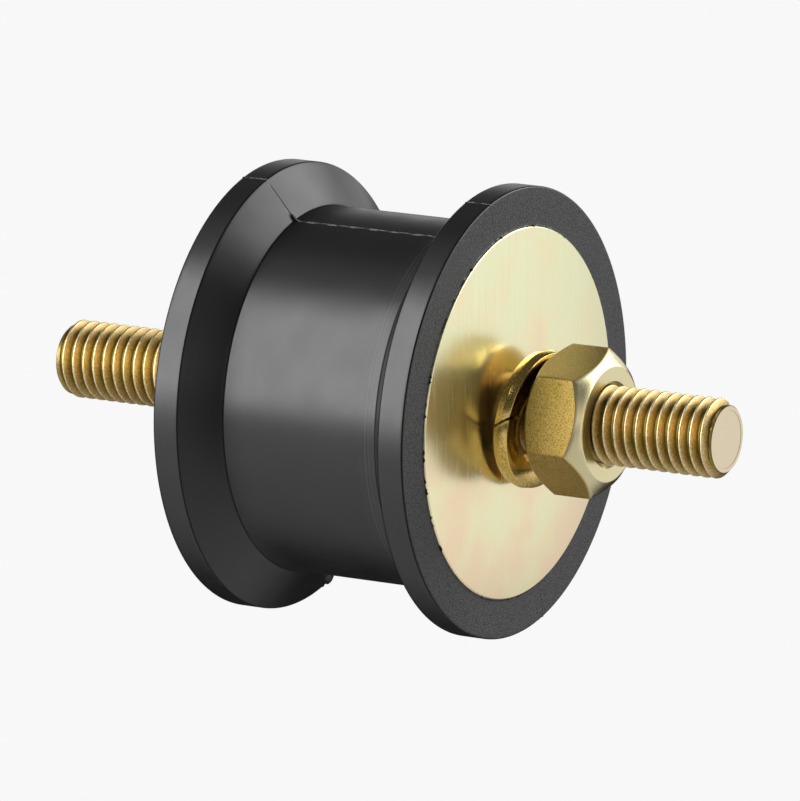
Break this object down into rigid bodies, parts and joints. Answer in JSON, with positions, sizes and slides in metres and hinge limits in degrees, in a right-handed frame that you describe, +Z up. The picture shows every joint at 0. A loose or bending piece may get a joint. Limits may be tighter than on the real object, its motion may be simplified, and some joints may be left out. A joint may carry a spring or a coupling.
{
  "type": "bobbin vibration mount",
  "caption": "Waisted rubber bobbin bonded to round steel end plates, with a threaded stud at each end and a hex nut over a split spring washer at one end.",
  "frame": {"origin": "on the common axis, at the middle of the rubber body's length, which is also the middle of the whole part", "axes": "+X along the axis, out of the end that carries the nut and the spring washer; +Z up; +Y completes the right-handed set"},
  "size_m": [0.094, 0.0562, 0.0562],
  "materials": {
    "rubber": "moulded natural rubber, black, satin",
    "plate_steel": "cold-rolled steel, zinc plated and yellow passivated, faintly iridescent",
    "stud_steel": "rolled thread, zinc plated and yellow passivated",
    "nut_steel": "zinc plated and yellow passivated, mottled brown and gold",
    "washer_steel": "spring steel, zinc plated and yellow passivated, golden"
  },
  "bodies": {
    "root": {"rubber_body": "rubber", "nut_side_plate": "plate_steel", "plain_side_plate": "plate_steel", "nut_side_stud": "stud_steel", "plain_side_stud": "stud_steel", "hex_nut": "nut_steel", "spring_washer": "washer_steel"}
  },
  "joints": []
}
